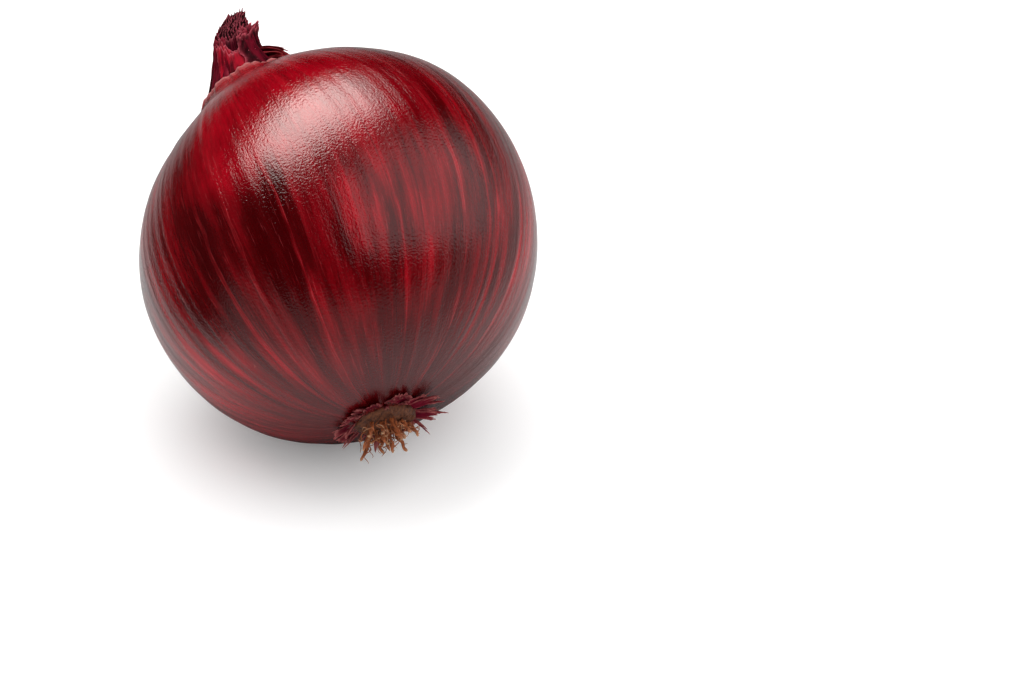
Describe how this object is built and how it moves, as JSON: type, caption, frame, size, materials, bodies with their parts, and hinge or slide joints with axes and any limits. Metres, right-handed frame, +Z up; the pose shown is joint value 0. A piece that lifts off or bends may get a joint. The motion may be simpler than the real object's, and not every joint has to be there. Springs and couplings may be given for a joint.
{
  "type": "red onion",
  "caption": "Whole red onion at rest on a small flat spot, with glossy papery skin, a dried leafy neck, torn skin and a tuft of short dried roots.",
  "frame": {"origin": "middle of the small flat spot on the bulb's underside that the onion rests on", "axes": "+Z up as it rests; the neck leans away towards +Y and up, and the root end is low towards -Y; +X to the right seen from the root end"},
  "size_m": [0.081, 0.0922, 0.0803],
  "materials": {
    "bulb_skin": "taut glossy dry skin, dark crimson with fine lighter stripes from neck to root",
    "dark_leaf": "matt shrivelled dry leaf, near-black maroon",
    "red_leaf": "satin dry leaf, maroon to crimson with pale torn edges",
    "torn_skin": "matt torn dry skin, dark red with pale ragged tips",
    "dry_root": "matt dry fibrous root, orange brown to straw"
  },
  "bodies": {
    "root": {"bulb": "bulb_skin", "neck_core": "dark_leaf", "neck_sheath_back": "red_leaf", "neck_sheath_front": "red_leaf", "neck_sheath_inner": "dark_leaf", "neck_sheath_left": "dark_leaf", "neck_sheath_right": "red_leaf", "root_01": "dry_root", "root_02": "dry_root", "root_03": "dry_root", "root_04": "dry_root", "root_05": "dry_root", "root_06": "dry_root", "root_07": "dry_root", "root_08": "dry_root", "root_09": "dry_root", "root_10": "dry_root", "root_11": "dry_root", "root_12": "dry_root", "root_13": "dry_root", "root_14": "dry_root", "root_15": "dry_root", "root_fringe_01": "torn_skin", "root_fringe_02": "torn_skin", "root_fringe_03": "torn_skin", "root_fringe_04": "torn_skin", "root_fringe_05": "torn_skin", "root_fringe_06": "torn_skin", "root_fringe_07": "torn_skin", "root_fringe_08": "torn_skin", "root_fringe_09": "torn_skin", "root_plate": "dry_root", "skin_flap": "red_leaf"}
  },
  "joints": []
}
